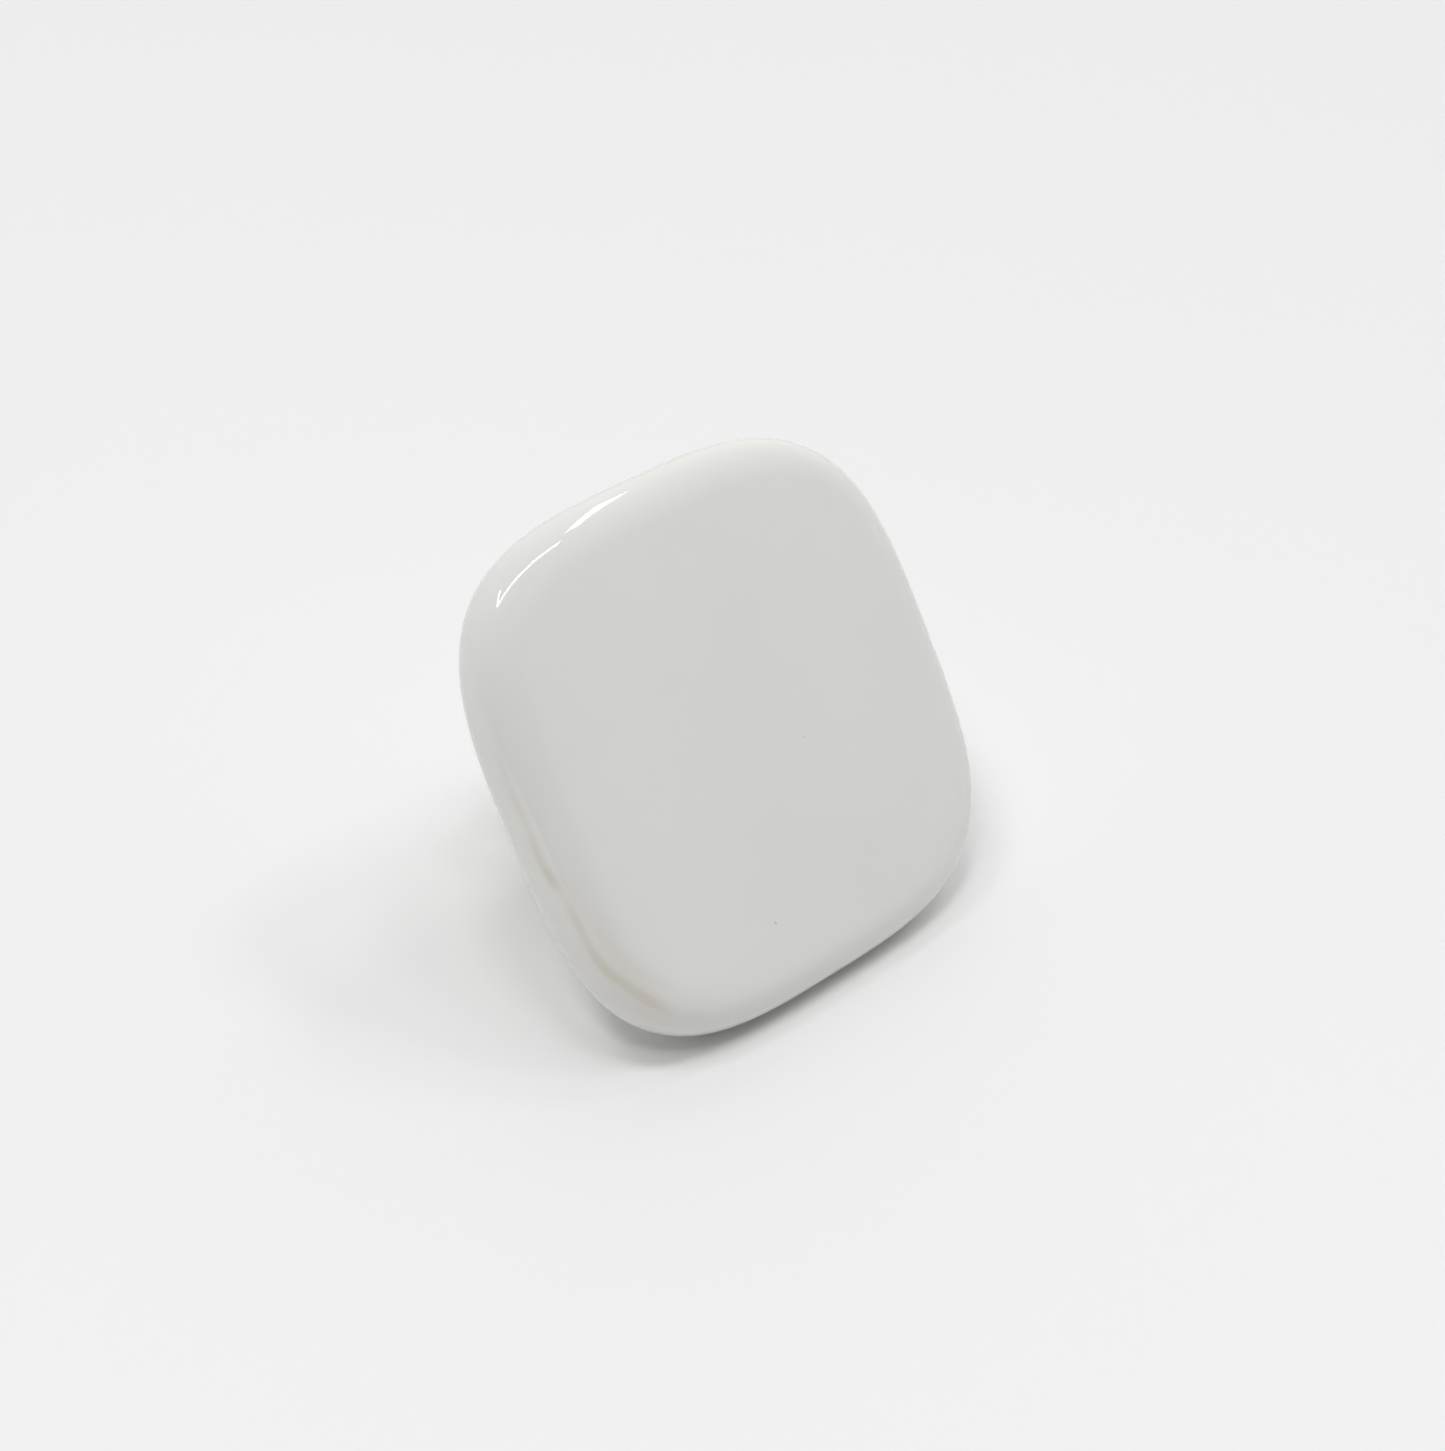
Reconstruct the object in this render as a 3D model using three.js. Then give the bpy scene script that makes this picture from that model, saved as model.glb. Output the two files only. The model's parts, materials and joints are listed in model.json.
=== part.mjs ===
// A cabinet knob: a rounded-square porcelain head on a turned metal stem, lying loose on a table.
// Millimetres, +Z up. The knob rests on the rim of its head and the rim of its foot, face towards
// -Y and up. The origin is on the table, in the middle of the knob's bounding box.
//
// Every piece is drawn in the knob's own axes: Z runs from the foot's face (z = 0) out of the head's
// face, and Y runs up the face. One group then lays the whole knob down in its resting pose.

import * as THREE from "three";

// ---- driving dimensions ------------------------------------------------------------------------

const HEAD_WIDTH = 40; // across two opposite sides of the head
const PROJECTION = 25; // from the foot's face to the middle of the head's face
const SQUARENESS = 3.34; // exponent of the superellipse that the head follows; 2 would be round
const RIM_RADIUS = 3.5; // the rim is a half round of this radius
const FACE_CROWN = 0.5; // how far the middle of the face stands above the rim

const BOSS_RADIUS = 8; // round boss on the back of the head
const BOSS_END = 13.4; // height of the boss's end face above the foot's face
const BACK_DROP = 1.8; // how far the back slopes from the rim to the root of the boss
const BOSS_FILLET = 1.6; // fillet where the boss leaves the back

const SOCKET_RADIUS = 5.8; // blind socket for the insert
const SOCKET_DEPTH = 7;
const KEY_GROOVE_DEPTH = 0.6; // groove in the socket's wall that keys the cement
const KEY_GROOVE_WIDTH = 1.8;

const FOOT_RADIUS = 7.5;
const FOOT_EDGE = 0.5; // round on the foot's two edges
const FOOT_THICKNESS = 1.8;
const NECK_RADIUS = 4.4;
const FLANGE_RADIUS = 7.2; // flange of the stem, under the head
const FLANGE_THICKNESS = 1.5;
const FLANGE_EDGE = 0.3;
const WASHER_THICKNESS = 0.7;
const WASHER_HOLE = 2.8;

const THREAD_RADIUS = 2; // M4 throughout
const BORE_CHAMFER = 0.5;
const STUD_LENGTH = 11;
const STUD_START = 8; // height of the stud's lower end above the foot's face
const INSERT_ACROSS_FLATS = 8;
const INSERT_LENGTH = 6.2;
const INSERT_WAIST = 3.5; // radius of the groove round the insert's middle
const INSERT_WAIST_LENGTH = 1.6;

const RING_INNER = 4.7; // rubber ring in the foot's face
const RING_OUTER = 5.7;
const RING_THICKNESS = 0.9;

const GAP = 0.3; // clearance between pieces that touch

// ---- heights and radii that follow -------------------------------------------------------------

const HALF_WIDTH = HEAD_WIDTH / 2;
const CORE = HALF_WIDTH - RIM_RADIUS; // half width inside the rim
const RIM_TOP = PROJECTION - FACE_CROWN;
const RIM_MIDDLE = RIM_TOP - RIM_RADIUS;
const RIM_BOTTOM = RIM_MIDDLE - RIM_RADIUS;
const BACK_END = RIM_BOTTOM - BACK_DROP;
const SOCKET_FLOOR = BOSS_END + SOCKET_DEPTH;
const STEM_END = BOSS_END - WASHER_THICKNESS - 2 * GAP;

const HEAD_SEGMENTS = 96;
const TURNED_SEGMENTS = 48;
const SMALL_SEGMENTS = 24; // a multiple of 6, so that a hexagon's corners fall on vertices
const RIM_STEPS = 10; // facets from the back of the rim round to its front
const BACK_STEPS = 3;
const FACE_STEPS = 3;
const COVE_STEPS = 8; // facets along the neck

// ---- materials ---------------------------------------------------------------------------------

const material = (color, roughness, metalness) =>
  new THREE.MeshStandardMaterial({ color, roughness, metalness });

const GLAZE = material(0xe9e9e5, 0.08, 0);
const NICKEL = material(0xb9b4aa, 0.3, 1);
const BRASS = material(0xc9a24e, 0.35, 1);
const ZINC = material(0xa9adb3, 0.35, 1);
const CEMENT = material(0xcfcac0, 0.95, 0);
const NYLON = material(0xd9d5c6, 0.55, 0);
const RUBBER = material(0x2b2b2c, 0.75, 0);

// ---- helpers -----------------------------------------------------------------------------------

// Points of an arc round (radius, height), from one angle to another, in degrees from the +radius way.
function arc(radius, height, size, from, to, steps) {
  const points = [];
  for (let i = 0; i <= steps; i++) {
    const angle = THREE.MathUtils.degToRad(from + ((to - from) * i) / steps);
    points.push([radius + size * Math.cos(angle), height + size * Math.sin(angle)]);
  }
  return points;
}

// A turned solid about Z from a profile of [radius, height] points. The profile runs anticlockwise
// as seen with the radius to the right and the height up, and is closed unless both ends are on the axis.
function turned(profile, segments) {
  const points = profile.map(([radius, height]) => new THREE.Vector2(radius, height));
  const last = points[points.length - 1];
  if (points[0].x > 0 || last.x > 0) points.push(points[0].clone());
  const geometry = new THREE.LatheGeometry(points, segments);
  geometry.rotateX(Math.PI / 2);
  return geometry;
}

// Turns the rings that lie on a hexagon's corner circle into the hexagon itself.
function hexagonal(geometry, acrossFlats) {
  const corner = cornerRadius(acrossFlats);
  const sixth = Math.PI / 3;
  const position = geometry.getAttribute("position");
  for (let i = 0; i < position.count; i++) {
    const x = position.getX(i);
    const y = position.getY(i);
    const radius = Math.hypot(x, y);
    if (Math.abs(radius - corner) > 1e-3) continue;
    const turn = (Math.atan2(y, x) + 2 * Math.PI) % sixth;
    const scale = acrossFlats / 2 / Math.cos(turn - sixth / 2) / radius;
    position.setXY(i, x * scale, y * scale);
  }
  return geometry;
}

function cornerRadius(acrossFlats) {
  return acrossFlats / 2 / Math.cos(Math.PI / 6);
}

function piece(name, geometry, finish) {
  const mesh = new THREE.Mesh(geometry, finish);
  mesh.name = name;
  return mesh;
}

// ---- head --------------------------------------------------------------------------------------

// Point of the head's outline at a polar angle, moved in from the edge by inset at right angles to it.
function outline(angle, inset) {
  const c = Math.cos(angle);
  const s = Math.sin(angle);
  const power = (v, exponent) => Math.sign(v) * Math.abs(v) ** exponent;
  const radius = HALF_WIDTH / (Math.abs(c) ** SQUARENESS + Math.abs(s) ** SQUARENESS) ** (1 / SQUARENESS);
  const normal = new THREE.Vector2(power(c, SQUARENESS - 1), power(s, SQUARENESS - 1)).normalize();
  return new THREE.Vector2(radius * c, radius * s).addScaledVector(normal, -inset);
}

// Takes a turned head, round everywhere, to its rounded square. Outside the core each ring becomes an
// inward offset of the outline, so that the rim keeps its radius. Inside it the rings are scaled
// copies of the core's edge, which turn back to circles towards the boss.
function squared(geometry) {
  const position = geometry.getAttribute("position");
  for (let i = 0; i < position.count; i++) {
    const x = position.getX(i);
    const y = position.getY(i);
    const radius = Math.hypot(x, y);
    if (radius <= BOSS_RADIUS + BOSS_FILLET) continue;
    const angle = Math.atan2(y, x);
    const inset = Math.min(HALF_WIDTH - radius, RIM_RADIUS);
    const square = outline(angle, inset);
    if (radius < CORE) {
      const round = new THREE.Vector2(x, y);
      const mix = THREE.MathUtils.smoothstep(radius, BOSS_RADIUS + BOSS_FILLET, CORE);
      square.multiplyScalar(radius / CORE).lerp(round, 1 - mix);
    }
    position.setXY(i, square.x, square.y);
  }
  return geometry;
}

function porcelainHead() {
  const grooveLow = BOSS_END + (SOCKET_DEPTH - KEY_GROOVE_WIDTH) / 2;
  const grooveHigh = grooveLow + KEY_GROOVE_WIDTH;
  const profile = [
    [0, SOCKET_FLOOR],
    [SOCKET_RADIUS, SOCKET_FLOOR],
    [SOCKET_RADIUS, grooveHigh],
    [SOCKET_RADIUS + KEY_GROOVE_DEPTH, grooveHigh - KEY_GROOVE_DEPTH],
    [SOCKET_RADIUS + KEY_GROOVE_DEPTH, grooveLow + KEY_GROOVE_DEPTH],
    [SOCKET_RADIUS, grooveLow],
    [SOCKET_RADIUS, BOSS_END],
    ...arc(BOSS_RADIUS - FLANGE_EDGE, BOSS_END + FLANGE_EDGE, FLANGE_EDGE, -90, 0, 2),
    ...arc(BOSS_RADIUS + BOSS_FILLET, BACK_END - BOSS_FILLET, BOSS_FILLET, 180, 90, 4),
  ];
  for (let i = 1; i < BACK_STEPS; i++) {
    const t = i / BACK_STEPS;
    profile.push([
      THREE.MathUtils.lerp(BOSS_RADIUS + BOSS_FILLET, CORE, t),
      THREE.MathUtils.lerp(BACK_END, RIM_BOTTOM, THREE.MathUtils.smoothstep(t, 0, 1)),
    ]);
  }
  profile.push(...arc(CORE, RIM_MIDDLE, RIM_RADIUS, -90, 90, RIM_STEPS));
  for (let i = 1; i <= FACE_STEPS; i++) {
    const radius = CORE * (1 - i / FACE_STEPS);
    profile.push([radius, RIM_TOP + FACE_CROWN * (1 - (radius / CORE) ** 2)]);
  }
  return piece("porcelain_head", squared(turned(profile, HEAD_SEGMENTS)), GLAZE);
}

// ---- what holds the head -----------------------------------------------------------------------

function settingCement() {
  const across = INSERT_ACROSS_FLATS + 2 * GAP;
  const inner = cornerRadius(across);
  const outer = SOCKET_RADIUS - GAP;
  const bottom = BOSS_END + GAP;
  const key = KEY_GROOVE_DEPTH;
  const keyMiddle = BOSS_END + SOCKET_DEPTH / 2;
  const waistMiddle = bottom + INSERT_LENGTH / 2;
  const waistHalf = INSERT_WAIST_LENGTH / 2 - GAP;
  const profile = [
    [inner, bottom],
    [outer, bottom],
    [outer, keyMiddle - KEY_GROOVE_WIDTH / 2],
    [outer + key, keyMiddle - KEY_GROOVE_WIDTH / 2 + key],
    [outer + key, keyMiddle + KEY_GROOVE_WIDTH / 2 - key],
    [outer, keyMiddle + KEY_GROOVE_WIDTH / 2],
    [outer, SOCKET_FLOOR - GAP],
    [inner, SOCKET_FLOOR - GAP],
    [inner, waistMiddle + waistHalf],
    [INSERT_WAIST + GAP, waistMiddle + waistHalf],
    [INSERT_WAIST + GAP, waistMiddle - waistHalf],
    [inner, waistMiddle - waistHalf],
  ];
  return piece("setting_cement", hexagonal(turned(profile, SMALL_SEGMENTS), across), CEMENT);
}

// A hexagonal bar with a waist turned in its middle and a blind tapped hole from its lower end.
function headInsert() {
  const bottom = BOSS_END + GAP;
  const top = bottom + INSERT_LENGTH;
  const middle = (bottom + top) / 2;
  const corner = cornerRadius(INSERT_ACROSS_FLATS);
  const floor = STUD_START + STUD_LENGTH + GAP;
  const profile = [
    [0, floor],
    [THREAD_RADIUS, floor],
    [THREAD_RADIUS, bottom + BORE_CHAMFER],
    [THREAD_RADIUS + BORE_CHAMFER, bottom],
    [corner, bottom],
    [corner, middle - INSERT_WAIST_LENGTH / 2],
    [INSERT_WAIST, middle - INSERT_WAIST_LENGTH / 2],
    [INSERT_WAIST, middle + INSERT_WAIST_LENGTH / 2],
    [corner, middle + INSERT_WAIST_LENGTH / 2],
    [corner, top],
    [0, top],
  ];
  return piece(
    "head_insert",
    hexagonal(turned(profile, SMALL_SEGMENTS), INSERT_ACROSS_FLATS),
    BRASS,
  );
}

function couplingStud() {
  const radius = THREAD_RADIUS - GAP;
  const top = STUD_START + STUD_LENGTH;
  const profile = [
    [0, STUD_START],
    [radius - BORE_CHAMFER, STUD_START],
    [radius, STUD_START + BORE_CHAMFER],
    [radius, top - BORE_CHAMFER],
    [radius - BORE_CHAMFER, top],
    [0, top],
  ];
  return piece("coupling_stud", turned(profile, SMALL_SEGMENTS), ZINC);
}

function cushionWasher() {
  const bottom = STEM_END + GAP;
  const top = bottom + WASHER_THICKNESS;
  const profile = [
    [WASHER_HOLE, bottom],
    [FLANGE_RADIUS, bottom],
    [FLANGE_RADIUS, top],
    [WASHER_HOLE, top],
  ];
  return piece("cushion_washer", turned(profile, TURNED_SEGMENTS), NYLON);
}

// ---- stem and foot -----------------------------------------------------------------------------

function stem() {
  const flangeBottom = STEM_END - FLANGE_THICKNESS;
  const profile = [
    [THREAD_RADIUS, STEM_END - BORE_CHAMFER],
    [THREAD_RADIUS, BORE_CHAMFER],
    [THREAD_RADIUS + BORE_CHAMFER, 0],
    [RING_INNER - GAP, 0],
    [RING_INNER - GAP, RING_THICKNESS + GAP],
    [RING_OUTER + GAP, RING_THICKNESS + GAP],
    [RING_OUTER + GAP, 0],
    ...arc(FOOT_RADIUS - FOOT_EDGE, FOOT_EDGE, FOOT_EDGE, -90, 0, 4),
    ...arc(FOOT_RADIUS - FOOT_EDGE, FOOT_THICKNESS - FOOT_EDGE, FOOT_EDGE, 0, 90, 4),
  ];
  // The neck is one long hollow curve: half an ellipse between the foot and the flange.
  const low = FOOT_THICKNESS;
  const span = flangeBottom - low;
  const shoulder = FLANGE_RADIUS - FLANGE_EDGE;
  for (let i = 1; i < COVE_STEPS; i++) {
    const angle = (Math.PI * i) / COVE_STEPS;
    const height = low + (span * (1 - Math.cos(angle))) / 2;
    const wide = THREE.MathUtils.lerp(FOOT_RADIUS - FOOT_EDGE, shoulder, (height - low) / span);
    profile.push([wide - (wide - NECK_RADIUS) * Math.sin(angle), height]);
  }
  profile.push(
    ...arc(shoulder, flangeBottom + FLANGE_EDGE, FLANGE_EDGE, -90, 0, 2),
    ...arc(shoulder, STEM_END - FLANGE_EDGE, FLANGE_EDGE, 0, 90, 2),
    [THREAD_RADIUS + BORE_CHAMFER, STEM_END],
  );
  return piece("stem", turned(profile, TURNED_SEGMENTS), NICKEL);
}

function gripRing() {
  const profile = [
    [RING_INNER, 0],
    [RING_OUTER, 0],
    [RING_OUTER, RING_THICKNESS],
    [RING_INNER, RING_THICKNESS],
  ];
  return piece("grip_ring", turned(profile, TURNED_SEGMENTS), RUBBER);
}

// ---- resting pose ------------------------------------------------------------------------------

// How far the face leans back from upright when the knob lies on the rims of its head and its foot.
// Both rims are rounded, so the table touches two circles of different radius swept round the axis.
function leanBack() {
  const rise = RIM_MIDDLE - FOOT_EDGE;
  const step = CORE - (FOOT_RADIUS - FOOT_EDGE);
  return Math.atan2(step, rise) + Math.asin((RIM_RADIUS - FOOT_EDGE) / Math.hypot(rise, step));
}

const knob = new THREE.Group();
knob.add(
  porcelainHead(),
  settingCement(),
  headInsert(),
  couplingStud(),
  cushionWasher(),
  stem(),
  gripRing(),
);
knob.rotation.x = Math.PI / 2 - leanBack();

// Centred on the origin and stood on the table.
const box = new THREE.Box3().setFromObject(knob, true);
const middle = box.getCenter(new THREE.Vector3());
knob.position.set(-middle.x, -middle.y, -box.min.z);

export default new THREE.Group().add(knob);
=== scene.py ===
"""A white porcelain cabinet knob, lying loose on a pale surface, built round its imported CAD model.

Every piece is drawn in the knob's own axes, in millimetres: Z runs from the foot's face (height 0)
out of the head's face, and Y runs up the face. to_row() takes that to the frame's metres.
"""

import json
import math

import bmesh
import bpy
from mathutils import Matrix, Vector, noise


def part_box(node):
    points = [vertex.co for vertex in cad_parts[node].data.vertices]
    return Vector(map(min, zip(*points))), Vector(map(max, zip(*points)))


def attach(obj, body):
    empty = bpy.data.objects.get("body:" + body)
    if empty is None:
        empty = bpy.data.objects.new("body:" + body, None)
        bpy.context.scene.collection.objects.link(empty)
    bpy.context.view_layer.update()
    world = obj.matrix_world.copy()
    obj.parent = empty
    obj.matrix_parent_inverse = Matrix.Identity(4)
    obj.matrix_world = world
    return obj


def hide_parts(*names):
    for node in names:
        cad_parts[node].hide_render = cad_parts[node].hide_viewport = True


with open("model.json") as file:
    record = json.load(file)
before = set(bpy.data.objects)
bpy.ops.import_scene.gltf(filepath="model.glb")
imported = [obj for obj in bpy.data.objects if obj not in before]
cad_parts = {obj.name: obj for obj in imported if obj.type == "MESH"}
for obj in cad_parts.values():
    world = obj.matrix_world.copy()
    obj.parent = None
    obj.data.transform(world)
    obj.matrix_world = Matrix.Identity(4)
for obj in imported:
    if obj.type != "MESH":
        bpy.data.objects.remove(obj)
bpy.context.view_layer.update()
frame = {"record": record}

MM = 0.001

# ---- the knob's axes, from the mount on its foot -------------------------------------------------

foot = next(m for m in frame["record"]["mounts"] if m["name"] == "foot_face")
OUT = -Vector(foot["axis"]).normalized()  # out of the head's face
ACROSS = Vector((1, 0, 0))
UP_FACE = OUT.cross(ACROSS)
FOOT_CENTRE = Vector((0, foot["pos_m"][1], foot["pos_m"][2]))
KNOB = Matrix.Translation(FOOT_CENTRE) @ Matrix((ACROSS, UP_FACE, OUT)).transposed().to_4x4()


def to_row(point):
    """A point in the knob's axes, in millimetres, as a point in the row frame, in metres."""
    return KNOB @ (Vector(point) * MM)


# ---- sizes, in millimetres: the CAD model's, and the finer ones that it leaves out ---------------

head_low, head_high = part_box("porcelain_head")
HALF_WIDTH = (head_high[0] - head_low[0]) / 2 / MM
PROJECTION = 25.0
SQUARENESS = 3.34
RIM_RADIUS = 3.5
FACE_CROWN = 0.5
CORE = HALF_WIDTH - RIM_RADIUS
RIM_TOP = PROJECTION - FACE_CROWN
RIM_MIDDLE = RIM_TOP - RIM_RADIUS
RIM_BOTTOM = RIM_MIDDLE - RIM_RADIUS

BOSS_RADIUS = 8.0
BOSS_END = 13.4
BOSS_EDGE = 0.3
BOSS_FILLET = 1.6
BACK_END = RIM_BOTTOM - 1.8
SOCKET_RADIUS = 5.8
SOCKET_FLOOR = BOSS_END + 7.0
KEY_DEPTH = 0.6
KEY_LOW = BOSS_END + 2.6
KEY_HIGH = BOSS_END + 4.4
GLAZE_STOP = 0.55  # the glaze ends this far above the boss's end face
GLAZE_LIP = 0.07  # and stands this far proud of the bare porcelain

FOOT_RADIUS = 7.5
FOOT_EDGE = 0.5
FOOT_THICKNESS = 1.8
NECK_RADIUS = 4.4
FLANGE_RADIUS = 7.2
FLANGE_EDGE = 0.3
STEM_END = 12.1
FLANGE_BOTTOM = STEM_END - 1.5

GROOVE_INNER = 4.4
GROOVE_OUTER = 6.0
GROOVE_DEPTH = 1.2
RING_INNER = 4.7
RING_OUTER = 5.7
RING_PROUD = 0.12

THREAD_PITCH = 0.7  # M4
THREAD_DEPTH = 0.34
BORE_ROOT = 2.02
STUD_CREST = 1.96
BORE_CHAMFER = 0.5
STUD_LOW = 8.0
STUD_HIGH = 19.0
INSERT_FLATS = 8.0
INSERT_LOW = BOSS_END + 0.3
INSERT_HIGH = INSERT_LOW + 6.2
INSERT_WAIST = 3.5
WAIST_HALF = 0.8
WASHER_HOLE = 2.8

KEY_FLATS = 2.0  # key socket in the stud, small enough for CORNER_CUT to make it round
CORNER_CUT = 0.18  # how far a hexagon's corners are turned down
FIT = 0.02  # clearance between pieces that touch

SAME_POINT = 1e-4  # points nearer than this are one
SHARP_EDGE = 38  # faces that meet at more than this, in degrees, make a sharp edge
GLAZE_RIPPLE = 0.02  # the glaze's long, low ripple
GLAZE_RIPPLE_FINE = 0.006  # and the shorter one on top of it


# ---- turned shapes -------------------------------------------------------------------------------


def arc(radius, height, size, start, end, steps):
    """Points of an arc round (radius, height), its angles in degrees from the way of the radius."""
    points = []
    for i in range(steps + 1):
        angle = math.radians(start + (end - start) * i / steps)
        points.append((radius + size * math.cos(angle), height + size * math.sin(angle)))
    return points


def line(start, end, steps):
    """Points along a straight line, both ends included."""
    return [
        (start[0] + (end[0] - start[0]) * i / steps, start[1] + (end[1] - start[1]) * i / steps)
        for i in range(steps + 1)
    ]


def smoothstep(value, low, high):
    t = min(max((value - low) / (high - low), 0.0), 1.0)
    return t * t * (3 - 2 * t)


def tidy(profile):
    """The profile without points that repeat the one before."""
    kept = [profile[0]]
    for point in profile[1:]:
        if math.dist(point[:2], kept[-1][:2]) > SAME_POINT:
            kept.append(point)
    return kept


def bends(profile, closed):
    """How sharply the profile turns at each point, per millimetre: above 0 on an outside edge."""
    count = len(profile)
    found = []
    for i, point in enumerate(profile):
        before = profile[i - 1] if i > 0 or closed else point
        after = profile[(i + 1) % count] if i < count - 1 or closed else point
        first = Vector((point[0] - before[0], point[1] - before[1]))
        second = Vector((after[0] - point[0], after[1] - point[1]))
        if first.length < 1e-6 or second.length < 1e-6:
            found.append(0.0)
            continue
        turn = math.atan2(first.cross(second), first.dot(second))
        found.append(turn / max(0.5 * (first.length + second.length), 0.05))
    return found


def eased(profile, turns, reach):
    """The turns averaged along the profile, over that many millimetres to each side."""
    along = [0.0]
    for before, after in zip(profile, profile[1:]):
        along.append(along[-1] + math.dist(before[:2], after[:2]))
    last = len(along) - 1
    share = [along[min(i + 1, last)] - along[max(i - 1, 0)] for i in range(last + 1)]
    found = []
    for here in along:
        weights = [w * max(0.0, 1 - abs(there - here) / reach) for w, there in zip(share, along)]
        found.append(sum(w * turn for w, turn in zip(weights, turns)) / sum(weights))
    return found


def thread(angle, height):
    """Height of the thread's flank at a place, from 0 at the root of a screw to 1 at its crest."""
    turn = (height / THREAD_PITCH - angle / math.tau) % 1.0
    return min(1.0, max(0.0, 1.25 * (1 - abs(2 * turn - 1)) - 0.125))


def revolve(name, profile, segments, shape=None, ease=0.0):
    """A closed mesh turned about the knob's axis.

    The profile is (radius, height) points, or (radius, height, depth) where a thread of that depth
    is cut. It runs from axis to axis or round to its start. shape moves each point of the turned
    form. ease spreads the record of its bends over that many millimetres."""
    profile = tidy(profile)
    closed = profile[0][0] > 0
    if closed and math.dist(profile[0][:2], profile[-1][:2]) < SAME_POINT:
        profile.pop()
    turns = bends(profile, closed)
    if ease:
        turns = eased(profile, turns, ease)
    points, rows, edges = [], [], []
    for (radius, height, *depth), turn in zip(profile, turns):
        row = []
        for k in range(segments if radius > 0 else 1):
            angle = math.tau * k / segments
            reach = radius
            if depth:
                reach -= depth[0] * (1 - thread(angle, height))
            point = Vector((reach * math.cos(angle), reach * math.sin(angle), height))
            row.append(len(points))
            points.append(shape(point) if shape else point)
            edges.append(turn)
        rows.append(row)
    faces = []
    pairs = list(zip(rows, rows[1:])) + ([(rows[-1], rows[0])] if closed else [])
    for low, high in pairs:
        for k in range(segments):
            after = (k + 1) % segments
            if len(low) == 1:
                faces.append((low[0], high[after], high[k]))
            elif len(high) == 1:
                faces.append((low[k], low[after], high[0]))
            else:
                faces.append((low[k], low[after], high[after], high[k]))
    return solid(name, points, faces, edges)


def solid(name, points, faces, edges):
    """A smooth-shaded object from points in the knob's axes.

    Its mesh keeps two attributes for the materials: knob, each point's place in millimetres, and
    bend, how sharp the edge is there."""
    mesh = bpy.data.meshes.new(name)
    mesh.from_pydata([to_row(p) for p in points], [], faces)
    place = mesh.attributes.new("knob", "FLOAT_VECTOR", "POINT")
    place.data.foreach_set("vector", [c for p in points for c in p])
    bend = mesh.attributes.new("bend", "FLOAT", "POINT")
    bend.data.foreach_set("value", edges)
    work = bmesh.new()
    work.from_mesh(mesh)
    bmesh.ops.recalc_face_normals(work, faces=work.faces)
    for face in work.faces:
        face.smooth = True
    work.to_mesh(mesh)
    work.free()
    mesh.set_sharp_from_angle(angle=math.radians(SHARP_EDGE))
    made = bpy.data.objects.new(name, mesh)
    bpy.context.scene.collection.objects.link(made)
    return made


# ---- finishes ------------------------------------------------------------------------------------


class Finish:
    """A material on a Principled shader, its textures in the knob's axes and in millimetres."""

    def __init__(self, name, **constants):
        self.material = bpy.data.materials.new(name)
        self.material.use_nodes = True
        self.tree = self.material.node_tree
        self.shader = self.tree.nodes["Principled BSDF"]
        for socket, value in constants.items():
            self.shader.inputs[socket.replace("_", " ")].default_value = value
        self.place = self.attribute("knob").outputs["Vector"]
        self.bend = self.attribute("bend").outputs["Fac"]

    def node(self, kind, inputs=(), **properties):
        made = self.tree.nodes.new("ShaderNode" + kind)
        for key, value in properties.items():
            setattr(made, key, value)
        for key, value in dict(inputs).items():
            self.feed(made.inputs[key], value)
        return made

    def feed(self, socket, value):
        if isinstance(value, bpy.types.NodeSocket):
            self.tree.links.new(value, socket)
        else:
            socket.default_value = value

    def attribute(self, name):
        return self.node("Attribute", attribute_name=name)

    def noise(self, scale, detail=3.0, rough=0.5, at=None):
        inputs = {"Vector": at or self.place, "Scale": scale, "Detail": detail, "Roughness": rough}
        return self.node("TexNoise", inputs).outputs["Fac"]

    def spots(self, scale, at=None):
        """Distance to the nearest of many scattered points, in cells."""
        inputs = {"Vector": at or self.place, "Scale": scale}
        return self.node("TexVoronoi", inputs).outputs["Distance"]

    def fit(self, value, low, high, start=0.0, end=1.0):
        inputs = {"Value": value, "From Min": low, "From Max": high, "To Min": start, "To Max": end}
        return self.node("MapRange", inputs, clamp=True).outputs["Result"]

    def maths(self, operation, first, second):
        return self.node("Math", {0: first, 1: second}, operation=operation).outputs["Value"]

    def mix(self, factor, first, second):
        inputs = {"Factor": factor, 6: first, 7: second}
        return self.node("Mix", inputs, data_type="RGBA").outputs[2]

    def bump(self, height, depth, under=None):
        """Relief of a depth in millimetres, on top of another where one is given."""
        inputs = {"Height": height, "Strength": 1.0, "Distance": depth * MM}
        if under:
            inputs["Normal"] = under
        return self.node("Bump", inputs).outputs["Normal"]

    def turned_lines(self, per_mm):
        """Fine uneven rings round the knob's axis, as a lathe tool leaves them."""
        apart = self.node("SeparateXYZ", {"Vector": self.place})
        flat = self.node("CombineXYZ", {"X": apart.outputs["X"], "Y": apart.outputs["Y"]})
        reach = self.node("VectorMath", {0: flat.outputs["Vector"]}, operation="LENGTH")
        along = self.maths("ADD", reach.outputs["Value"], apart.outputs["Z"])
        run = self.node("CombineXYZ", {"X": along})
        return self.noise(per_mm, detail=4.0, rough=0.65, at=run.outputs["Vector"])

    def set(self, **links):
        for socket, value in links.items():
            self.feed(self.shader.inputs[socket.replace("_", " ")], value)
        return self.material


def rgb(red, green, blue):
    return (red, green, blue, 1.0)


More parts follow.
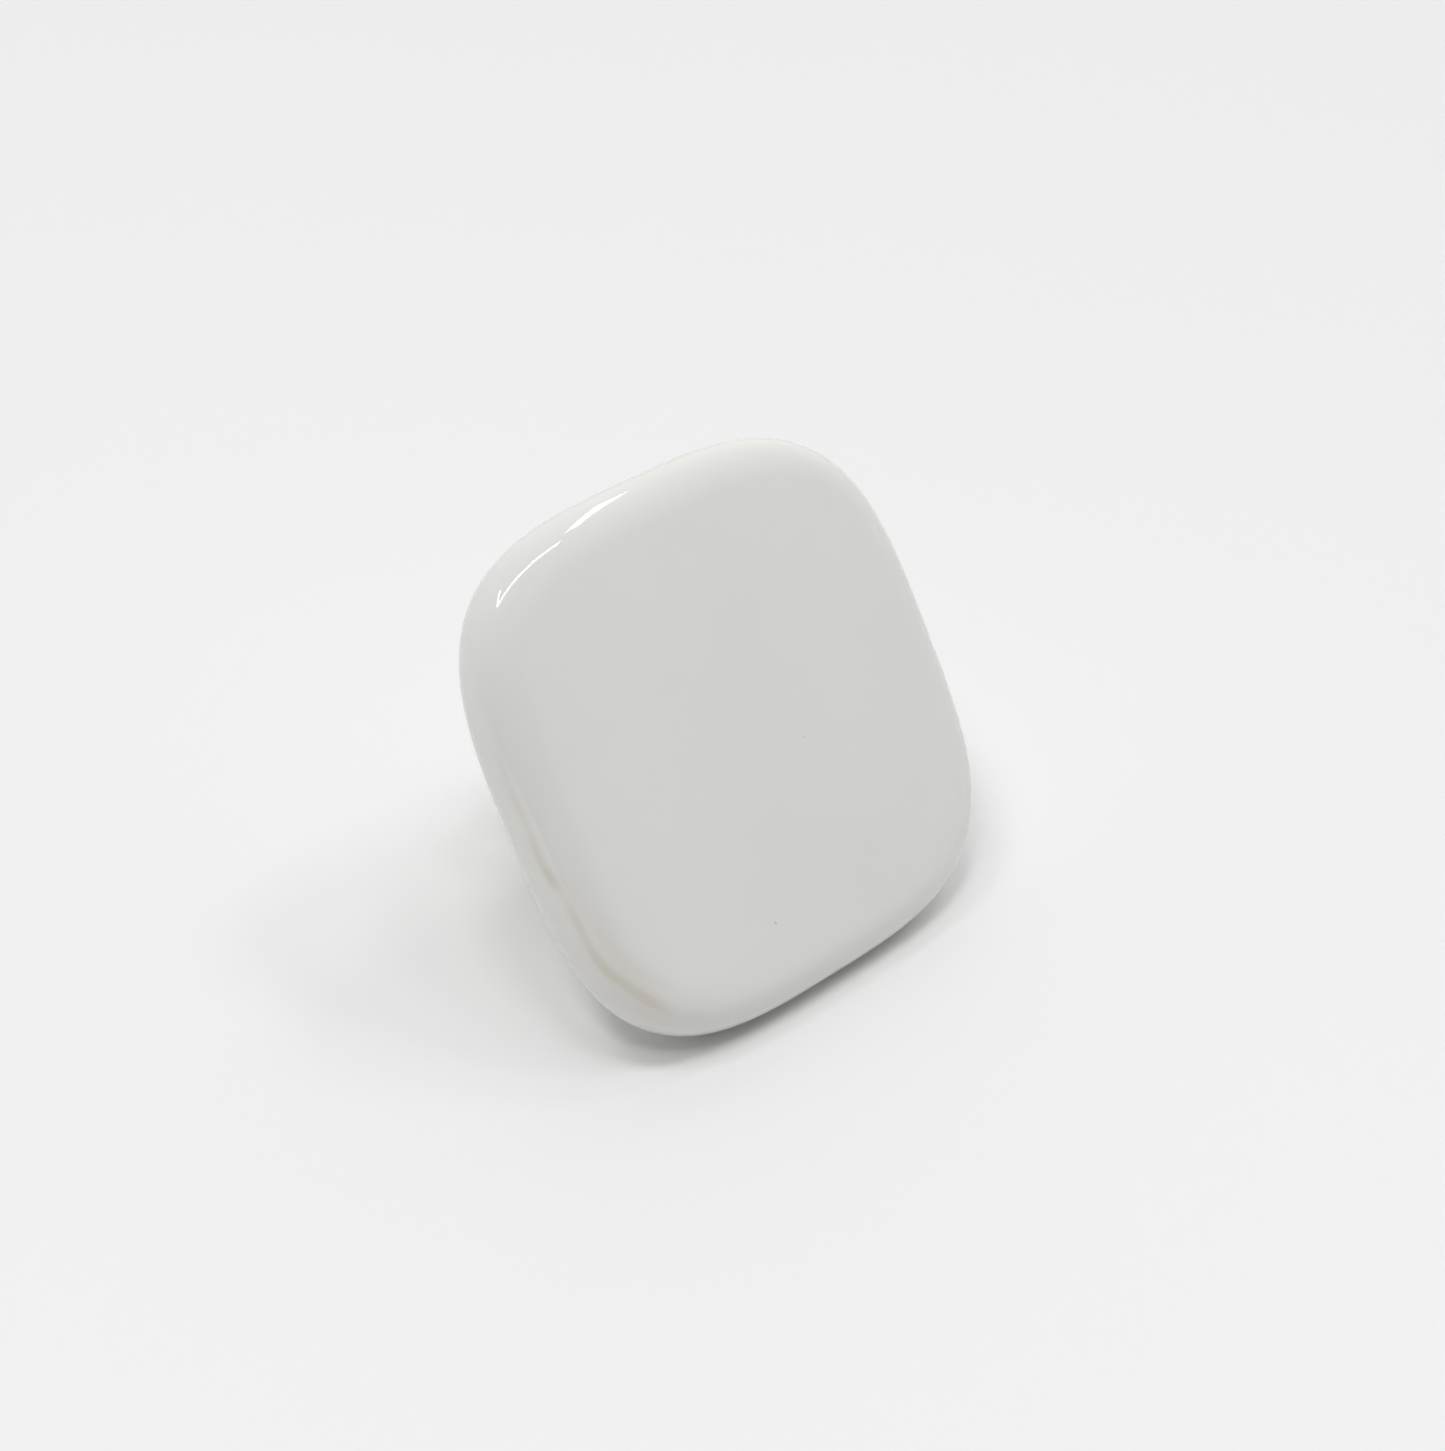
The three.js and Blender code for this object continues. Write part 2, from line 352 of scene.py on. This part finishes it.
def glaze():
    """Clear glaze on white porcelain: warm over the rim, cool where it pools, a few pinholes."""
    f = Finish("glaze", IOR=1.52)
    cloud = f.fit(f.noise(0.07), 0.35, 0.65)
    tone = f.mix(cloud, rgb(0.745, 0.745, 0.728), rgb(0.765, 0.765, 0.748))
    tone = f.mix(f.fit(f.bend, 0.05, 0.6, 0.0, 0.75), tone, rgb(0.735, 0.725, 0.685))
    tone = f.mix(f.fit(f.bend, -0.05, -0.6, 0.0, 0.8), tone, rgb(0.69, 0.71, 0.69))
    # A warm reflection painted along one stretch of the rim.
    warm_reflection = f.attribute("warm_reflection").outputs["Fac"]
    tone = f.mix(f.fit(warm_reflection, 0.0, 1.0, 0.0, 0.85), tone, rgb(0.64, 0.60, 0.525))
    specks = f.fit(f.spots(0.16), 0.01, 0.018, 0.7, 0.0)
    tone = f.mix(specks, tone, rgb(0.42, 0.38, 0.33))
    smudge = f.fit(f.noise(0.12, detail=5.0), 0.4, 0.75, 0.035, 0.085)
    pinholes = f.fit(f.spots(0.3), 0.018, 0.045, 0.0, 1.0)
    ripple = f.bump(f.noise(0.3, detail=1.5), 0.008)
    skin = f.bump(f.noise(1.6, detail=2.0), 0.0012, ripple)
    return f.set(Base_Color=tone, Roughness=smudge, Normal=f.bump(pinholes, 0.01, skin))


def bisque():
    """Bare porcelain, where the head stood in the kiln and in its socket: dry and finely gritty."""
    f = Finish("bisque", IOR=1.45)
    tone = f.mix(f.fit(f.noise(0.9), 0.35, 0.65), rgb(0.76, 0.74, 0.69), rgb(0.69, 0.665, 0.61))
    grit = f.noise(9.0, detail=4.0)
    tone = f.mix(f.fit(f.spots(2.2), 0.05, 0.11, 0.7, 0.0), tone, rgb(0.42, 0.38, 0.32))
    rough = f.fit(grit, 0.3, 0.7, 0.75, 0.95)
    return f.set(Base_Color=tone, Roughness=rough, Normal=f.bump(grit, 0.02))


def nickel():
    """Satin nickel plate on turned brass: tool rings, polished edges worn warm, grey corners."""
    f = Finish("satin_nickel", Metallic=1.0)
    rings = f.turned_lines(14.0)
    tone = f.mix(f.fit(f.noise(0.5), 0.3, 0.7), rgb(0.60, 0.565, 0.51), rgb(0.66, 0.63, 0.575))
    tone = f.mix(f.fit(f.bend, 0.4, 2.0, 0.0, 0.55), tone, rgb(0.76, 0.68, 0.53))
    tone = f.mix(f.fit(f.bend, -0.3, -3.0, 0.0, 0.75), tone, rgb(0.25, 0.23, 0.2))
    worn = f.fit(f.bend, 0.2, 1.5, 0.0, -0.1)
    rough = f.maths("ADD", f.fit(rings, 0.3, 0.7, 0.24, 0.36), worn)
    prints = f.fit(f.noise(0.7, detail=6.0, rough=0.7), 0.5, 0.72, 0.0, 0.1)
    rough = f.maths("ADD", rough, prints)
    return f.set(Base_Color=tone, Roughness=rough, Normal=f.bump(rings, 0.006))


def brass():
    """Turned brass, tarnished in patches and brighter on its edges."""
    f = Finish("brass", Metallic=1.0)
    rings = f.turned_lines(9.0)
    tarnish = f.fit(f.noise(0.8, detail=5.0), 0.35, 0.7)
    tone = f.mix(tarnish, rgb(0.78, 0.58, 0.27), rgb(0.55, 0.38, 0.17))
    tone = f.mix(f.fit(f.bend, 0.4, 2.0, 0.0, 0.6), tone, rgb(0.88, 0.72, 0.42))
    rough = f.fit(rings, 0.3, 0.7, 0.25, 0.45)
    return f.set(Base_Color=tone, Roughness=rough, Normal=f.bump(rings, 0.01))


def zinc():
    """Zinc-plated steel, cloudy, rubbed bright on the edges of its ends."""
    f = Finish("zinc_plate", Metallic=1.0)
    patches = f.noise(1.1, detail=5.0, rough=0.6)
    tone = f.mix(f.fit(patches, 0.3, 0.7), rgb(0.60, 0.61, 0.64), rgb(0.47, 0.485, 0.52))
    tone = f.mix(f.fit(f.bend, 0.5, 4.0, 0.0, 0.6), tone, rgb(0.74, 0.74, 0.75))
    rough = f.fit(patches, 0.3, 0.7, 0.28, 0.5)
    return f.set(Base_Color=tone, Roughness=rough, Normal=f.bump(f.noise(7.0), 0.006))


def cement():
    """Setting cement, cast in the socket: pale, dull, full of small air holes, with painted shade in
    them.
    """
    f = Finish("setting_cement")
    damp = f.fit(f.noise(1.2, detail=5.0), 0.3, 0.7)
    tone = f.mix(damp, rgb(0.62, 0.6, 0.55), rgb(0.5, 0.48, 0.44))
    holes = f.fit(f.spots(1.7), 0.1, 0.24, 0.0, 1.0)
    # Painted shade darkens the middle of each air hole.
    tone = f.mix(f.fit(holes, 0.0, 0.5, 0.5, 0.0), tone, rgb(0.3, 0.28, 0.25))
    grain = f.bump(f.noise(6.0, detail=5.0, rough=0.7), 0.04)
    rough = f.fit(holes, 0.0, 1.0, 0.98, 0.88)
    return f.set(Base_Color=tone, Roughness=rough, Normal=f.bump(holes, 0.08, grain))


def nylon():
    """Natural nylon: milky, with the fine matte skin of a moulding and scuffed edges."""
    f = Finish("natural_nylon", IOR=1.5)
    tone = f.mix(f.fit(f.noise(0.5), 0.35, 0.65), rgb(0.74, 0.715, 0.63), rgb(0.68, 0.655, 0.57))
    tone = f.mix(f.fit(f.bend, 0.5, 3.0, 0.0, 0.4), tone, rgb(0.82, 0.81, 0.76))
    skin = f.noise(5.0, detail=4.0)
    rough = f.fit(skin, 0.3, 0.7, 0.42, 0.6)
    return f.set(Base_Color=tone, Roughness=rough, Normal=f.bump(skin, 0.008))


def rubber():
    """Black moulded rubber, greyed by dust and rubbed on the part that grips."""
    f = Finish("rubber", IOR=1.5)
    dust = f.noise(1.5, detail=6.0, rough=0.65)
    tone = f.mix(f.fit(dust, 0.42, 0.75), rgb(0.022, 0.022, 0.023), rgb(0.095, 0.09, 0.085))
    tone = f.mix(f.fit(f.bend, 0.5, 3.0, 0.0, 0.5), tone, rgb(0.075, 0.075, 0.075))
    skin = f.noise(10.0, detail=3.0)
    rough = f.fit(dust, 0.3, 0.7, 0.6, 0.85)
    return f.set(Base_Color=tone, Roughness=rough, Normal=f.bump(skin, 0.012))


def backdrop():
    """Plain pale card with the faintest tooth."""
    f = Finish("backdrop", IOR=1.3)
    place = f.node("TexCoord").outputs["Object"]
    tooth = f.noise(1500.0, detail=3.0, at=place)
    mottle = f.fit(f.noise(6.0, at=place), 0.3, 0.7)
    tone = f.mix(mottle, rgb(*[CARD * 0.992] * 3), rgb(*[CARD] * 3))
    rough = f.fit(tooth, 0.3, 0.7, 0.85, 0.95)
    return f.set(Base_Color=tone, Roughness=rough, Normal=f.bump(tooth, 0.01))


# ---- the head ------------------------------------------------------------------------------------

SEGMENTS = 256


def power(value, exponent):
    return math.copysign(abs(value) ** exponent, value)


def outline(angle, inset):
    """Point of the head's rounded-square outline at a polar angle, moved in square to it."""
    c, s = math.cos(angle), math.sin(angle)
    reach = HALF_WIDTH / (abs(c) ** SQUARENESS + abs(s) ** SQUARENESS) ** (1 / SQUARENESS)
    normal = Vector((power(c, SQUARENESS - 1), power(s, SQUARENESS - 1))).normalized()
    return Vector((reach * c, reach * s)) - normal * inset


def squared(point):
    """Takes a point of the round, turned head to the rounded square.

    The rim keeps its radius all the way round. Inside it the square shrinks towards the middle and
    turns into the round boss."""
    reach = math.hypot(point.x, point.y)
    root = BOSS_RADIUS + BOSS_FILLET
    if reach <= root:
        return point
    angle = math.atan2(point.y, point.x)
    square = outline(angle, min(HALF_WIDTH - reach, RIM_RADIUS))
    if reach < CORE:
        mix = smoothstep(reach, root, CORE)
        square = (square * (reach / CORE)).lerp(Vector((point.x, point.y)), 1 - mix)
    return Vector((square.x, square.y, point.z))


def head_profile():
    wall = BOSS_RADIUS
    bare = wall - GLAZE_LIP
    stop = BOSS_END + GLAZE_STOP
    profile = line((0, SOCKET_FLOOR), (SOCKET_RADIUS - 0.4, SOCKET_FLOOR), 6)
    profile += arc(SOCKET_RADIUS - 0.4, SOCKET_FLOOR - 0.4, 0.4, 90, 0, 4)
    profile += [
        (SOCKET_RADIUS, KEY_HIGH),
        (SOCKET_RADIUS + KEY_DEPTH, KEY_HIGH - KEY_DEPTH),
        (SOCKET_RADIUS + KEY_DEPTH, KEY_LOW + KEY_DEPTH),
        (SOCKET_RADIUS, KEY_LOW),
    ]
    profile += arc(SOCKET_RADIUS + 0.2, BOSS_END + 0.2, 0.2, 180, 270, 4)
    profile += arc(bare - BOSS_EDGE, BOSS_END + BOSS_EDGE, BOSS_EDGE, -90, 0, 8)
    profile += [(bare, stop - GLAZE_LIP)]
    profile += arc(wall - 0.02, stop + 0.05, 0.05, -90, 0, 5)
    profile += arc(wall + BOSS_FILLET, BACK_END - BOSS_FILLET, BOSS_FILLET, 180, 90, 20)
    back_steps = 24
    for i in range(1, back_steps):
        t = i / back_steps
        reach = wall + BOSS_FILLET + (CORE - wall - BOSS_FILLET) * t
        profile.append((reach, BACK_END + (RIM_BOTTOM - BACK_END) * smoothstep(t, 0, 1)))
    # The rim runs into the crowned face without a crease.
    slope = math.atan(2 * FACE_CROWN / CORE)
    profile += arc(CORE, RIM_MIDDLE, RIM_RADIUS, -90, 90 - math.degrees(slope), 64)
    start, low = profile[-1]
    face_steps = 36
    for i in range(1, face_steps + 1):
        reach = start * (1 - i / face_steps)
        profile.append((reach, low + (PROJECTION - low) * (1 - (reach / start) ** 2)))
    return profile


def warm_reflection_at(place):
    """Painted reflection of something warm beside the knob: a broken streak along one stretch of the
    rim.
    """
    angle = math.degrees(math.atan2(place.y, place.x)) % 360
    if place.z < RIM_MIDDLE or not 150 < angle < 275:
        return 0.0
    reach = math.hypot(place.x, place.y)
    inset = outline(math.radians(angle), 0).length - reach
    roll = math.degrees(math.acos(min((place.z - RIM_MIDDLE) / RIM_RADIUS, 1.0)))
    wander = 66 - 12 * smoothstep(angle, 180, 200) - 15 * smoothstep(angle, 206, 222)
    wander += 3 * noise.noise(place * 0.3)
    strength = 0.35 + 0.65 * smoothstep(angle, 170, 188)
    streak = math.exp(-(((roll - wander) / 6) ** 2)) * (0.6 + 0.8 * noise.noise(place * 0.5))
    blot = math.exp(-(((roll - wander + 2) / 8) ** 2) - ((angle - 188) / 2.5) ** 2)
    side = math.exp(-(((inset - 1.3) / 1.1) ** 2)) * smoothstep(angle, 184, 212)
    side *= 0.25 + 0.4 * noise.noise(place * 0.25)
    stretch = smoothstep(angle, 150, 164) * (1 - smoothstep(angle, 216, 238))
    return stretch * min(strength * max(streak, 0.0) + 0.5 * blot + max(side, 0.0), 1.0)


def porcelain_head():
    head = revolve("head", head_profile(), SEGMENTS, squared, ease=3.0)
    mesh = head.data
    knob = mesh.attributes["knob"].data
    places = [Vector(p.vector) for p in knob]
    # Where a warm reflection is painted along the rim.
    warm_reflection = mesh.attributes.new("warm_reflection", "FLOAT", "POINT")
    warm_reflection.data.foreach_set("value", [warm_reflection_at(p) for p in places])
    # A fired glaze is never dead true: it ripples by up to about 0.02 mm.
    normals = [v.vector.copy() for v in mesh.vertex_normals]
    for vertex, normal, place in zip(mesh.vertices, normals, places):
        if math.hypot(place.x, place.y) > BOSS_RADIUS or place.z > SOCKET_FLOOR + 1:
            ripple = GLAZE_RIPPLE * noise.noise(place * 0.11)
            ripple += GLAZE_RIPPLE_FINE * noise.noise(place * 0.28 + Vector((7, 3, 1)))
            vertex.co += normal * ripple * MM
    mesh.materials.append(glaze())
    mesh.materials.append(bisque())
    for face in mesh.polygons:
        middle = sum((places[i] for i in face.vertices), Vector()) / len(face.vertices)
        reach = math.hypot(middle.x, middle.y)
        inside = reach < SOCKET_RADIUS + KEY_DEPTH + 0.1 and middle.z < SOCKET_FLOOR + 0.1
        underside = reach < BOSS_RADIUS and middle.z < BOSS_END + GLAZE_STOP
        face.material_index = 1 if inside or underside else 0
    return head


# ---- what holds the head -------------------------------------------------------------------------


def hexagon(flats, circle):
    """A shape that moves the points on a circle of that radius to the hexagon inside it."""

    def shape(point):
        reach = math.hypot(point.x, point.y)
        if abs(reach - circle) > 1e-3:
            return point
        sixth = math.pi / 3
        turn = math.atan2(point.y, point.x) % sixth
        scale = flats / 2 / math.cos(turn - sixth / 2) / reach
        # The corners are turned down. In the stud's small socket the flats go with them.
        scale = min(scale, (circle - CORNER_CUT) / reach)
        return Vector((point.x * scale, point.y * scale, point.z))

    return shape


def corner_radius(flats):
    return flats / 2 / math.cos(math.pi / 6)


def threaded(radius, low, high):
    """Rows of a thread between two heights, fading out at both ends."""
    steps = round(abs(high - low) / THREAD_PITCH * 10)
    rows = []
    for i in range(steps + 1):
        height = low + (high - low) * i / steps
        nearest = min(abs(height - low), abs(height - high))
        fade = min(1.0, nearest / (0.6 * THREAD_PITCH))
        rows.append((radius, height, THREAD_DEPTH * fade))
    return rows


def head_insert():
    corner = corner_radius(INSERT_FLATS)
    middle = (INSERT_LOW + INSERT_HIGH) / 2
    profile = [(0, STUD_HIGH + 0.3)]
    profile += threaded(BORE_ROOT, STUD_HIGH + 0.3, INSERT_LOW + BORE_CHAMFER)
    profile += [
        (BORE_ROOT + BORE_CHAMFER, INSERT_LOW),
        (corner - 0.4, INSERT_LOW),
        (corner, INSERT_LOW + 0.25),
        (corner, middle - WAIST_HALF),
        (INSERT_WAIST, middle - WAIST_HALF),
        (INSERT_WAIST, middle + WAIST_HALF),
        (corner, middle + WAIST_HALF),
        (corner, INSERT_HIGH - 0.25),
        (corner - 0.4, INSERT_HIGH),
        (0, INSERT_HIGH),
    ]
    piece = revolve("insert", profile, 96, hexagon(INSERT_FLATS, corner))
    piece.data.materials.append(brass())
    return piece


def setting_cement():
    """The cement fills the whole ring between insert and socket, waist and key groove with it."""
    flats = INSERT_FLATS + 2 * FIT
    corner = corner_radius(flats)
    outer = SOCKET_RADIUS - FIT
    middle = (INSERT_LOW + INSERT_HIGH) / 2
    low = BOSS_END + 0.25
    profile = [(corner, low)]
    profile += line((corner + 0.15, low + 0.06), (outer - 0.15, low + 0.06), 4)
    profile += [
        (outer, low),
        (outer, KEY_LOW + FIT),
        (outer + KEY_DEPTH, KEY_LOW + KEY_DEPTH + FIT),
        (outer + KEY_DEPTH, KEY_HIGH - KEY_DEPTH - FIT),
        (outer, KEY_HIGH - FIT),
        (outer, SOCKET_FLOOR - 0.45),
        (outer - 0.35, SOCKET_FLOOR - FIT - 0.05),
        (corner, SOCKET_FLOOR - FIT - 0.05),
        (corner, middle + WAIST_HALF - FIT),
        (INSERT_WAIST + FIT, middle + WAIST_HALF - FIT),
        (INSERT_WAIST + FIT, middle - WAIST_HALF + FIT),
        (corner, middle - WAIST_HALF + FIT),
    ]
    piece = revolve("cement", profile, 96, hexagon(flats, corner))
    piece.data.materials.append(cement())
    return piece


def coupling_stud():
    """A grub screw: threaded from end to end, with a key socket in its lower end."""
    key = corner_radius(KEY_FLATS)
    crest = STUD_CREST
    profile = [(0, STUD_LOW + 1.6), (key * 0.6, STUD_LOW + 1.5)]
    profile += line((key, STUD_LOW + 1.3), (key, STUD_LOW), 3)
    profile += [(crest - THREAD_DEPTH - 0.1, STUD_LOW), (crest - 0.1, STUD_LOW + 0.35)]
    profile += threaded(crest, STUD_LOW + 0.4, STUD_HIGH - 0.4)
    profile += [(crest - 0.1, STUD_HIGH - 0.35), (crest - THREAD_DEPTH - 0.1, STUD_HIGH)]
    profile += [(0, STUD_HIGH)]
    piece = revolve("stud", profile, 72, hexagon(KEY_FLATS, key))
    piece.data.materials.append(zinc())
    return piece


def cushion_washer():
    """Clamped between boss and flange, so its edge bulges a little."""
    low, high = STEM_END + FIT, BOSS_END - FIT
    middle = (low + high) / 2
    half = (high - low) / 2
    outer = FLANGE_RADIUS - 0.1
    profile = [(WASHER_HOLE, low + 0.1), (WASHER_HOLE + 0.1, low)]
    profile += line((WASHER_HOLE + 0.3, low), (outer - 0.2, low), 6)
    profile += [
        (outer + 0.22 * math.cos(math.radians(a)) - 0.2, middle + half * math.sin(math.radians(a)))
        for a in range(-90, 91, 10)
    ]
    profile += line((outer - 0.4, high), (WASHER_HOLE + 0.1, high), 6)
    profile += [(WASHER_HOLE, high - 0.1)]
    piece = revolve("washer", profile, 128)
    piece.data.materials.append(nylon())
    return piece


# ---- stem and foot -------------------------------------------------------------------------------


def stem_profile():
    edge = 0.12
    profile = [(BORE_ROOT + BORE_CHAMFER, STEM_END)]
    profile += threaded(BORE_ROOT, STEM_END - BORE_CHAMFER, BORE_CHAMFER)
    profile += [(BORE_ROOT + BORE_CHAMFER, 0.02)]
    profile += arc(BORE_ROOT + BORE_CHAMFER + 0.06, 0.06, 0.06, -120, -90, 2)
    profile += arc(GROOVE_INNER - edge, edge, edge, -90, 0, 5)
    profile += [(GROOVE_INNER, GROOVE_DEPTH), (GROOVE_OUTER, GROOVE_DEPTH)]
    profile += arc(GROOVE_OUTER + edge, edge, edge, 180, 270, 5)
    profile += arc(FOOT_RADIUS - FOOT_EDGE, FOOT_EDGE, FOOT_EDGE, -90, 0, 12)
    profile += scratch(FOOT_RADIUS, FOOT_THICKNESS / 2)
    profile += arc(FOOT_RADIUS - FOOT_EDGE, FOOT_THICKNESS - FOOT_EDGE, FOOT_EDGE, 0, 90, 12)
    shoulder = FLANGE_RADIUS - FLANGE_EDGE
    span = FLANGE_BOTTOM - FOOT_THICKNESS
    cove_steps = 56
    for i in range(1, cove_steps):
        angle = math.pi * i / cove_steps
        height = FOOT_THICKNESS + span * (1 - math.cos(angle)) / 2
        along = (height - FOOT_THICKNESS) / span
        wide = FOOT_RADIUS - FOOT_EDGE + (shoulder - FOOT_RADIUS + FOOT_EDGE) * along
        profile.append((wide - (wide - NECK_RADIUS) * math.sin(angle), height))
    profile += arc(shoulder, FLANGE_BOTTOM + FLANGE_EDGE, FLANGE_EDGE, -90, 0, 8)
    profile += scratch(FLANGE_RADIUS, (FLANGE_BOTTOM + STEM_END) / 2)
    profile += arc(shoulder, STEM_END - FLANGE_EDGE, FLANGE_EDGE, 0, 90, 8)
    profile += line((shoulder - 0.2, STEM_END), (BORE_ROOT + BORE_CHAMFER + 0.2, STEM_END), 6)
    return profile


def scratch(radius, height):
    """A fine line turned round a cylinder."""
    wide, deep = 0.09, 0.08
    return [
        (radius, height - wide - 0.04),
        (radius - 0.015, height - wide),
        (radius - deep, height),
        (radius - 0.015, height + wide),
        (radius, height + wide + 0.04),
    ]


def stem():
    piece = revolve("turned_stem", stem_profile(), 160)
    piece.data.materials.append(nickel())
    return piece


def grip_ring():
    """A rubber ring pressed into the foot's groove, standing just proud of the face."""
    inner, outer = RING_INNER - 0.2, RING_OUTER + 0.2
    top = GROOVE_DEPTH - FIT
    middle = (inner + outer) / 2
    half = (outer - inner) / 2
    crown = 0.45
    profile = []
    for a in range(-90, 91, 9):
        turn = math.radians(a)
        height = crown - RING_PROUD - crown * math.cos(turn)
        profile.append((middle + half * math.sin(turn), height))
    profile += [(outer, 0.8), (outer - 0.1, top), (inner + 0.1, top), (inner, 0.8)]
    piece = revolve("ring", profile, 160)
    piece.data.materials.append(rubber())
    return piece


# ---- the object ----------------------------------------------------------------------------------

PIECES = (
    (porcelain_head, "porcelain_head", "glaze"),
    (setting_cement, "setting_cement", "cement"),
    (head_insert, "head_insert", "brass"),
    (coupling_stud, "coupling_stud", "zinc_steel"),
    (cushion_washer, "cushion_washer", "nylon"),
    (stem, "stem", "nickel"),
    (grip_ring, "grip_ring", "rubber"),
)

for make, node, finish in PIECES:
    piece = make()
    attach(piece, "root")
    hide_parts(node)


# ---- floor, light and camera ---------------------------------------------------------------------

CARD = 0.85  # how much light the floor gives back
FLOOR_HALF = 2.4  # metres, as are the lamps' sizes

# The room is brightest low down, towards +X and +Y, and darkest overhead.
SKY_OVERHEAD = 0.02
SKY_SIDES = (0.5, 0.4, 0.0)  # brightness on both sides along X and along Y
SKY_LEAN = (0.3, 0.3, 0.0)  # how much the +X and +Y sides gain, and the others lose

CEILING = 2.0  # height of all lamps
SOFT_BOX = 0.4  # side of a square soft lamp
STRIP_WIDTH = 0.16
STRIP_GLARE = 9.0  # brightness of the strips; paper white is about 1

CAMERA_AZIMUTH = 42.9
CAMERA_ELEVATION = 35.4
CAMERA_REACH = 10.67  # distance, in half widths of the head
CAMERA_LENS = 71.8
AIM_LEFT = 0.40  # the aim, in millimetres off the middle of the rim
AIM_UP = 0.45


def floor():
    mesh = bpy.data.meshes.new("floor")
    h = FLOOR_HALF
    mesh.from_pydata([(-h, -h, 0), (h, -h, 0), (h, h, 0), (-h, h, 0)], [], [(0, 1, 2, 3)])
    made = bpy.data.objects.new("floor", mesh)
    bpy.context.scene.collection.objects.link(made)
    mesh.materials.append(backdrop())


def sky():
    world = bpy.data.worlds.new("studio")
    world.use_nodes = True
    tree = world.node_tree
    way = tree.nodes.new("ShaderNodeTexCoord").outputs["Generated"]
    sides = tree.nodes.new("ShaderNodeVectorMath")
    sides.operation = "ABSOLUTE"
    tree.links.new(way, sides.inputs[0])

    def share(source, gain):
        made = tree.nodes.new("ShaderNodeVectorMath")
        made.operation = "DOT_PRODUCT"
        tree.links.new(source, made.inputs[0])
        made.inputs[1].default_value = gain
        return made.outputs["Value"]

    def add(first, second):
        made = tree.nodes.new("ShaderNodeMath")
        tree.links.new(first, made.inputs[0])
        if isinstance(second, float):
            made.inputs[1].default_value = second
        else:
            tree.links.new(second, made.inputs[1])
        return made.outputs["Value"]

    level = add(share(sides.outputs["Vector"], SKY_SIDES), SKY_OVERHEAD)
    total = add(level, share(way, SKY_LEAN))
    tree.links.new(total, tree.nodes["Background"].inputs["Color"])
    bpy.context.scene.world = world


def lamp(name, x, y, length, width, power_w, turn=0.0):
    """A rectangular lamp at ceiling height, facing down. x and y are in ceiling heights."""
    data = bpy.data.lights.new(name, "AREA")
    data.shape = "RECTANGLE"
    data.size = length
    data.size_y = width
    data.energy = power_w
    made = bpy.data.objects.new(name, data)
    made.location = (x * CEILING, y * CEILING, CEILING)
    made.rotation_euler = (0, 0, turn)
    bpy.context.scene.collection.objects.link(made)
    made.visible_camera = False
    return made


def strip(name, start, end):
    """A thin bright strip that shows only in reflections."""
    run = Vector(end) - Vector(start)
    middle = (Vector(start) + Vector(end)) / 2
    length = run.length * CEILING
    power_w = STRIP_GLARE * math.pi * length * STRIP_WIDTH
    made = lamp(name, *middle, length, STRIP_WIDTH, power_w, math.atan2(run.y, run.x))
    made.visible_diffuse = False


def soft_lamp(name, x, y, length, width, power_w):
    """A lamp that lights the scene but that nothing shiny mirrors."""
    lamp(name, x, y, length, width, power_w).visible_glossy = False


def lights():
    """Soft light from above, stronger from the left, and three strips that the glaze mirrors."""
    soft_lamp("left_front", -0.5, -0.3, SOFT_BOX, SOFT_BOX, 9)
    soft_lamp("left", -0.5, -0.1, SOFT_BOX, SOFT_BOX, 3)
    soft_lamp("left_back", -0.35, 0.15, SOFT_BOX, SOFT_BOX, 6)
    soft_lamp("overhead", -0.15, -0.15, SOFT_BOX, SOFT_BOX, 6)
    soft_lamp("front", 0.1, -0.3, SOFT_BOX, SOFT_BOX, 3)
    soft_lamp("right_front", 0.45, -0.45, SOFT_BOX, SOFT_BOX, 5)
    soft_lamp("right", 0.55, -0.1, SOFT_BOX, SOFT_BOX, 3)
    soft_lamp("back", 0.1, 0.6, 1.4, 0.6, 3)
    strip("strip_front", (-0.50, 0.40), (0.38, 0.19))
    strip("strip_right", (0.50, 0.40), (0.97, 1.15))
    strip("strip_left", (-0.50, 0.40), (-0.30, 0.68))


def camera():
    """Above and to the left of the face, at the angle of the photo."""
    azimuth, elevation = math.radians(CAMERA_AZIMUTH), math.radians(CAMERA_ELEVATION)
    distance = CAMERA_REACH * HALF_WIDTH * MM
    level = math.cos(elevation)
    back = Vector((-math.sin(azimuth) * level, -math.cos(azimuth) * level, math.sin(elevation)))
    right = Vector((math.cos(azimuth), -math.sin(azimuth), 0))
    up = back.cross(right)
    aim = to_row((0, 0, RIM_MIDDLE)) - right * AIM_LEFT * MM + up * AIM_UP * MM
    data = bpy.data.cameras.new("camera")
    data.lens = CAMERA_LENS
    data.clip_start = 0.01
    data.clip_end = 10
    made = bpy.data.objects.new("camera", data)
    turn = Matrix((right, up, back)).transposed().to_4x4()
    made.matrix_world = Matrix.Translation(aim + back * distance) @ turn
    bpy.context.scene.collection.objects.link(made)
    bpy.context.scene.camera = made


floor()
sky()
lights()
camera()
bpy.context.scene.view_settings.view_transform = "Standard"
